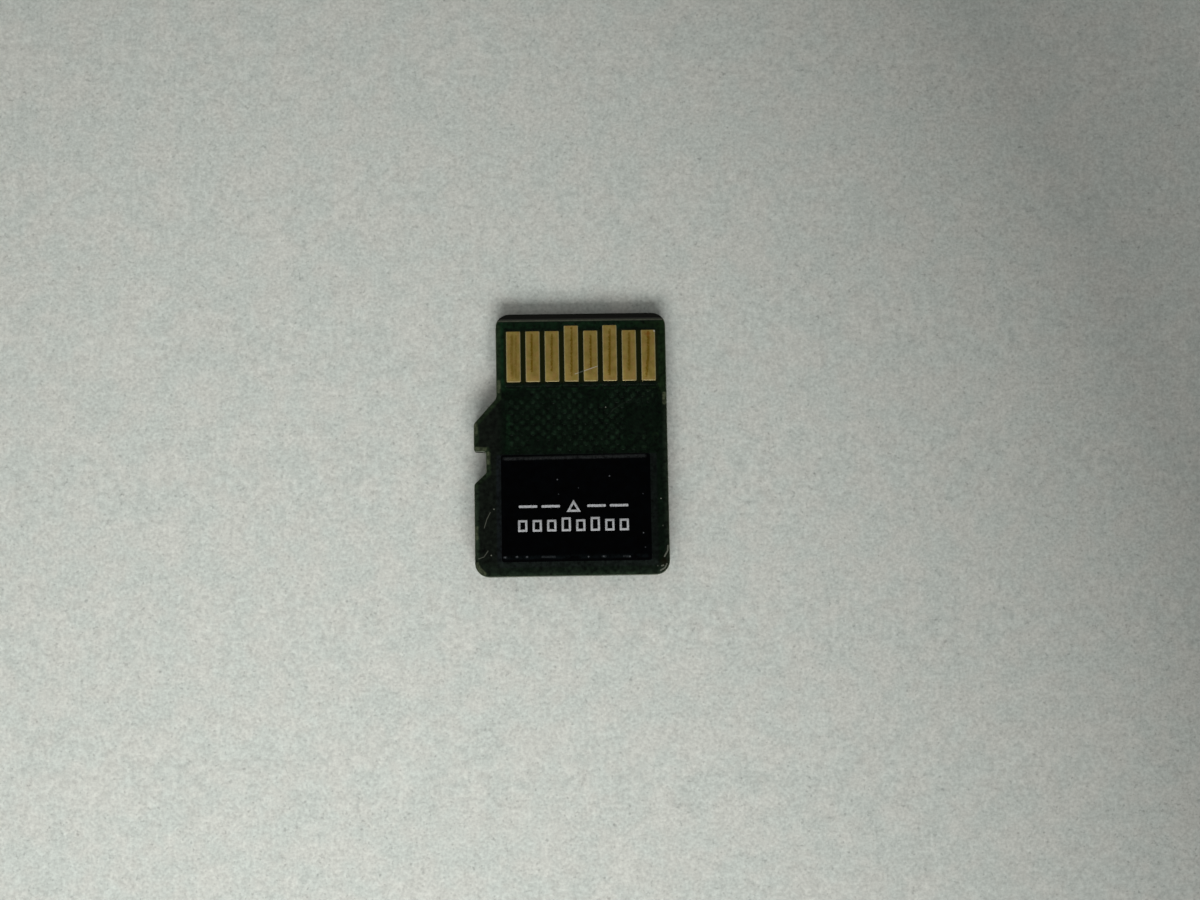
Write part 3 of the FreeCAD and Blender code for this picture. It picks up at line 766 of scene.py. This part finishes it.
def contact_row(gold, lacquer):
    """The contacts and their collars: a short and a long one modelled, the others copied from them."""
    for first, *others in (SHORT_CONTACTS, LONG_CONTACTS):
        plate, collar = contact_plate(first), contact_collar(first)
        row = [(first, plate, collar)]
        for number in others:
            shift = ((number - first) * CONTACT_PITCH, 0, 0)
            row.append((number, copy_piece(plate, f"contact_plate_{number}", shift),
                        copy_piece(collar, f"contact_collar_{number}", shift)))
        for number, plate_copy, collar_copy in row:
            place_piece(plate_copy, gold, "contact_gold", f"contact_{number}")
            place_piece(collar_copy, lacquer, "solder_mask")


def in_dot_field(spot):
    low_x, low_y, high_x, high_y = DOT_FIELD
    if not (low_x < spot[0] < high_x and low_y < spot[1] < high_y):
        return False
    return not any(a < spot[0] < c and b < spot[1] < d for a, b, c, d in DOT_BLANKS)


def nearest_dot(point):
    """Centre of the dot that a point belongs to."""
    choices = []
    for shift in DOT_SHIFTS:
        choices.append([origin + (round((value - origin) / DOT_PITCH - shift) + shift) * DOT_PITCH
                        for origin, value in zip(DOT_ORIGIN, point)])
    return min(choices, key=lambda spot: (spot[0] - point[0]) ** 2 + (spot[1] - point[1]) ** 2)


def hatch_dots(finish):
    """Low round swellings of the mask over the copper dots."""
    first = (DOT_ORIGIN[0] - DOT_COLUMNS_LEFT * DOT_PITCH, DOT_ORIGIN[1] - DOT_ROWS_BELOW * DOT_PITCH,
             MASK_TOP)
    top = at_level(MASK_TOP + DOT_RISE)
    dots = start_piece("hatch_dots", bpy.ops.mesh.primitive_cylinder_add, vertices=14,
                       radius=DOT_RADIUS * MM, depth=2 * DOT_RISE * MM, location=in_metres(first))
    bevel_edges(dots, top, DOT_RISE * 0.9, 1)
    pick(dots, "FACE", top)
    inset_rings([(DOT_CROWN_INSET, DOT_CROWN_LIFT)])
    bpy.ops.object.mode_set(mode="OBJECT")
    for name, count, step in (("columns", DOT_COLUMNS, (DOT_PITCH, 0, 0)),
                              ("rows", DOT_ROWS, (0, DOT_PITCH, 0))):
        array = dots.modifiers.new(name, "ARRAY")
        array.count = count
        array.use_relative_offset = False
        array.use_constant_offset = True
        array.constant_offset_displace = in_metres(step)
    apply_modifiers(dots)
    bpy.ops.object.mode_set(mode="EDIT")
    bpy.ops.mesh.select_all(action="SELECT")
    half = DOT_PITCH / 2 * MM
    bpy.ops.mesh.duplicate_move(TRANSFORM_OT_translate={"value": (half, half, 0)})
    bpy.ops.object.mode_set(mode="OBJECT")
    pick(dots, "VERT", lambda points: not in_dot_field(nearest_dot(points[0])))
    bpy.ops.mesh.delete(type="VERT")
    place_piece(dots, finish, "solder_mask")


def copper_track(name, places, width, rise, finish):
    """A track under the mask: a round drawn along its places and flattened to a low ridge."""
    first, second = (Vector((*place, 0)) for place in places[:2])
    turn = (second - first).to_track_quat("Z", "Y").to_euler()
    track = start_piece(name, bpy.ops.mesh.primitive_circle_add, vertices=10, radius=width / 2 * MM,
                        fill_type="NGON", location=in_metres(first), rotation=turn)
    bpy.ops.object.mode_set(mode="EDIT")
    bpy.ops.mesh.select_all(action="SELECT")
    for start, end in zip(places, places[1:]):
        run = in_metres((end[0] - start[0], end[1] - start[1], 0))
        bpy.ops.mesh.extrude_region_move(TRANSFORM_OT_translate={"value": run})
    bpy.ops.mesh.select_all(action="SELECT")
    bpy.ops.transform.resize(value=(1, 1, 2 * rise / width), center_override=(0, 0, 0))
    bpy.ops.transform.translate(value=(0, 0, MASK_TOP * MM))
    place_piece(track, finish, "solder_mask")


def via_swellings(finish):
    """Mask swellings over the plated vias, dimpled in the middle: one modelled and the next copied."""
    first, second = VIA_PLACES
    via = start_piece("via_swelling_1", bpy.ops.mesh.primitive_circle_add, vertices=24, fill_type="NGON",
                      radius=VIA_RADIUS * MM, location=in_metres((*first, MASK_TOP - VIA_SINK)))
    pick(via, "FACE", every)
    raise_faces(VIA_SINK)
    inset_rings(VIA_STEPS)
    bpy.ops.object.mode_set(mode="OBJECT")
    shift = (second[0] - first[0], second[1] - first[1], 0)
    for swelling in (via, copy_piece(via, "via_swelling_2", shift)):
        place_piece(swelling, finish, "solder_mask")


def ink_film(finish):
    """The ink field with its rounded corners and the bead that the ink dried to along its edge."""
    low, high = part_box("ink_patch")
    film = start_sheet("ink_film", low / MM, high / MM, low.z / MM)
    pick(film, "FACE", every)
    raise_faces(FILM_EDGE)
    inset_rings(BEAD_STEPS)
    bpy.ops.object.mode_set(mode="OBJECT")
    bevel_edges(film, at_corner, FILM_CORNER, 5)
    place_piece(film, finish, "patch_ink", "ink_patch", angle=30)


def print_ring(sheet):
    """An outline in print: a flat shape inset by the stroke, opened and raised."""
    pick(sheet, "FACE", every)
    inset_rings([(PRINT_STROKE, 0)])
    bpy.ops.mesh.delete(type="FACE")
    bpy.ops.mesh.select_all(action="SELECT")
    raise_faces(PRINT_RISE)
    bpy.ops.object.mode_set(mode="OBJECT")
    soften(sheet, PRINT_EDGE)
    return sheet


def key_frame(number, height):
    """One contact of the printed key."""
    low = (KEY_START + (number - 1) * KEY_PITCH, KEY_BASE)
    high = (low[0] + KEY_WIDTH, low[1] + height)
    return print_ring(start_sheet(f"contact_key_{number}", low, high, PRINT_FOOT))


def print_key(finish):
    """A row of frames that repeats the contacts, the fourth and sixth longer."""
    for (first, *others), height in ((SHORT_CONTACTS, KEY_SHORT), (LONG_CONTACTS, KEY_LONG)):
        key = key_frame(first, height)
        row = [key] + [copy_piece(key, f"contact_key_{number}", ((number - first) * KEY_PITCH, 0, 0))
                       for number in others]
        for piece in row:
            place_piece(piece, finish, "patch_ink")


def print_way_in(finish):
    """The mark for the way in: an open triangle pointing to the contacts, with dashes each side."""
    foot = (WAY_IN[0], WAY_IN[1] - WAY_IN_DROP, PRINT_FOOT)
    triangle = start_piece("way_in_mark", bpy.ops.mesh.primitive_circle_add, vertices=3, fill_type="NGON",
                           radius=WAY_IN_RADIUS * MM, location=in_metres(foot))
    place_piece(print_ring(triangle), finish, "patch_ink")
    low = (WAY_IN[0] + DASH_START, WAY_IN[1] - DASH_WIDTH / 2, PRINT_FOOT)
    high = (low[0] + DASH_LENGTH, low[1] + DASH_WIDTH, PRINT_FOOT + PRINT_RISE)
    dash = start_block("way_in_dash_1", in_metres(low), in_metres(high))
    bevel_edges(dash, upright, DASH_CORNER, 4)
    row = [dash] + [copy_piece(dash, f"way_in_dash_{number}", (step, 0, 0))
                    for number, step in DASH_STEPS.items()]
    for piece in row:
        place_piece(piece, finish, "patch_ink")


def make_floor():
    """The table, tipped to touch the grip and the leading edge, as the card really lies."""
    slope = math.atan2(LEAD_LIFT, LEAD_TOUCH - GRIP_TOUCH)
    deselect()
    bpy.ops.mesh.primitive_plane_add(size=TABLE_SIZE * MM)
    table = bpy.context.object
    table.name = table.data.name = "table"
    bpy.ops.object.mode_set(mode="EDIT")
    bpy.ops.mesh.select_all(action="SELECT")
    bpy.ops.mesh.subdivide(number_cuts=3)
    bpy.ops.object.mode_set(mode="OBJECT")
    to_grip = Matrix.Translation((0, GRIP_TOUCH * MM, 0))
    table.matrix_world = to_grip @ Matrix.Rotation(slope, 4, "X") @ to_grip.inverted()
    bpy.ops.object.transform_apply(location=True, rotation=True, scale=True)
    table.data.materials.append(floor_finish())


def light_scene():
    """A soft grey studio, and a broad low window that lights the card from its rear."""
    world = bpy.data.worlds.new("studio")
    bpy.context.scene.world = world
    world.use_nodes = True
    tree = world.node_tree
    tree.nodes.clear()
    start = Shade(tree, tree.nodes.new("ShaderNodeTexCoord").outputs["Generated"])
    side, _, height = start.xyz()
    sky = start.add("ShaderNodeValToRGB", {"stops": SKY_STOPS}, {"Fac": height})
    glow = start.add("ShaderNodeBackground", None, {"Color": sky, "Strength": 1.0 - side * SKY_SLANT})
    output = tree.nodes.new("ShaderNodeOutputWorld")
    tree.links.new(glow.socket, output.inputs[0])
    lamp = bpy.data.lights.new("window", "AREA")
    lamp.shape = "RECTANGLE"
    lamp.size, lamp.size_y = WINDOW_WIDTH * MM, WINDOW_HEIGHT * MM
    lamp.energy = WINDOW_WATTS
    window = bpy.data.objects.new("window", lamp)
    window.location = in_metres(WINDOW_PLACE)
    window.rotation_euler = (-Vector(WINDOW_PLACE)).to_track_quat("-Z", "Y").to_euler()
    bpy.context.scene.collection.objects.link(window)


def aim_camera():
    """Almost overhead, tipped to the rear edge and rolled as the picture is."""
    place, aim, up = Vector(CAMERA_PLACE), Vector(CAMERA_AIM), Vector(CAMERA_UP)
    back = (place - aim).normalized()
    right = up.cross(back).normalized()
    above = back.cross(right)
    camera = bpy.data.cameras.new("camera")
    camera.lens = CAMERA_LENS
    camera.sensor_width = CAMERA_SENSOR
    camera.clip_start, camera.clip_end = CAMERA_NEAR * MM, CAMERA_FAR * MM
    holder = bpy.data.objects.new("camera", camera)
    turn = Matrix((right, above, back)).transposed().to_4x4()
    holder.matrix_world = Matrix.Translation(place * MM) @ turn
    bpy.context.scene.collection.objects.link(holder)
    bpy.context.scene.camera = holder


lacquer, gold, ink, pale_print = mask_finish(), gold_finish(), ink_finish(), print_finish()
finishes = {
    "mould_epoxy": mould_finish(),
    "laminate_core": laminate_finish(),
    "solder_mask": lacquer,
    "contact_gold": gold,
    "patch_ink": ink,
    "silicon": inner_finish("silicon", (0.045, 0.045, 0.055), (0.11, 0.11, 0.13), 0.8, 0.6, 0.18),
    "die_film": inner_finish("die_film", (0.30, 0.26, 0.18), (0.46, 0.42, 0.32), 1.5),
    "inner_copper": inner_finish("tinned_copper", (0.42, 0.40, 0.37), (0.66, 0.64, 0.6), 3.0, 1.0, 0.25),
    "bond_gold": inner_finish("bond_gold", (0.62, 0.44, 0.13), (0.86, 0.64, 0.22), 6.0, 1.0, 0.2),
    "capacitor_ceramic": inner_finish("capacitor_ceramic", (0.20, 0.12, 0.07), (0.34, 0.22, 0.13), 5.0),
    "resistor_ceramic": inner_finish("resistor_ceramic", (0.015, 0.015, 0.016), (0.05, 0.05, 0.052), 5.0),
}
for entry in frame["record"]["subparts"]:
    for slot in frame["nodes"][entry["node"]].material_slots:
        slot.material = finishes[entry["material_slot"]]

contact_row(gold, lacquer)
hatch_dots(lacquer)
copper_track("edge_track", EDGE_TRACK, EDGE_TRACK_WIDTH, EDGE_TRACK_RISE, lacquer)
copper_track("fine_track", FINE_TRACK, FINE_TRACK_WIDTH, FINE_TRACK_RISE, lacquer)
via_swellings(lacquer)
ink_film(ink)
print_way_in(pale_print)
print_key(pale_print)

make_floor()
light_scene()
aim_camera()
bpy.context.scene.view_settings.view_transform = "Standard"
